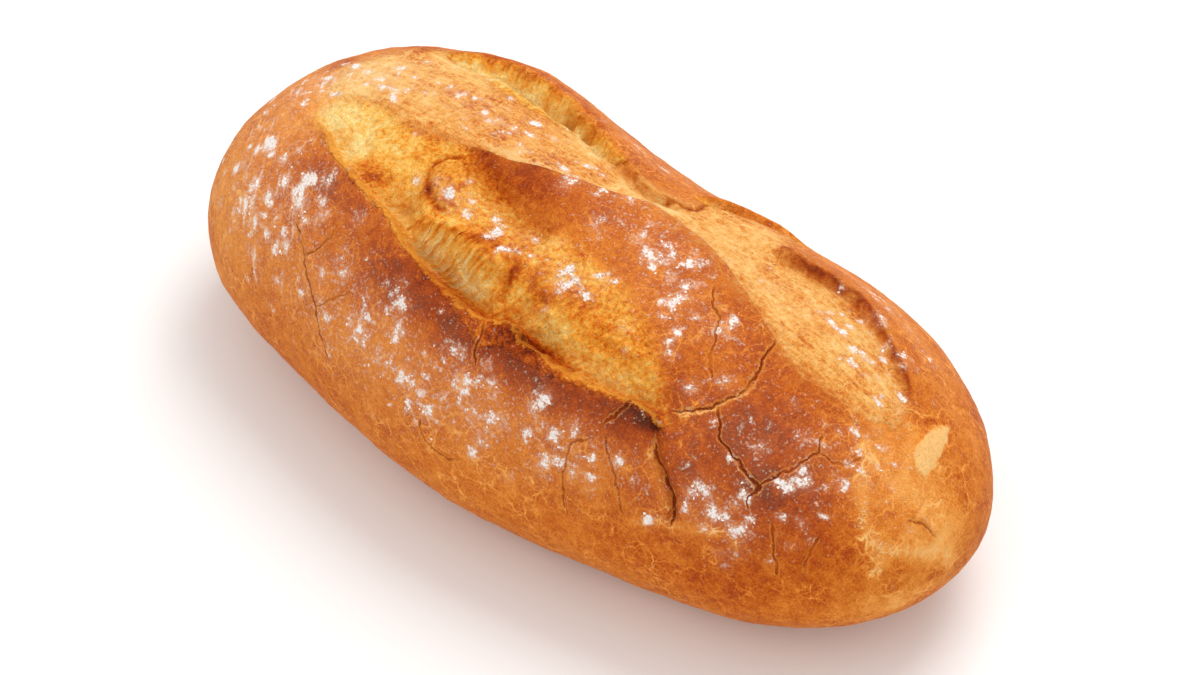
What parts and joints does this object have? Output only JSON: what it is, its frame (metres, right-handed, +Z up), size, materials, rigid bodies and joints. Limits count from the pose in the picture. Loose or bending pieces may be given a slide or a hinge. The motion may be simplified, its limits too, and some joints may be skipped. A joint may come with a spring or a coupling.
{
  "type": "semolina bread loaf",
  "caption": "Whole oval hearth loaf of semolina bread with slanting cuts that opened into raised lips, a cracked brown crust dusted with flour, and a flat foot.",
  "frame": {"origin": "on the table under the middle of the loaf, halfway along its length and its width", "axes": "+X along the loaf towards its narrower, cracked end, +Z up, -Y towards the flank with the long deep cut"},
  "size_m": [0.3008, 0.1494, 0.1027],
  "materials": {
    "golden_crust": "matte baked crust, golden brown, dusted with white flour, with bare yellow crumb in the cuts"
  },
  "bodies": {
    "root": {"loaf": "golden_crust"}
  },
  "joints": []
}
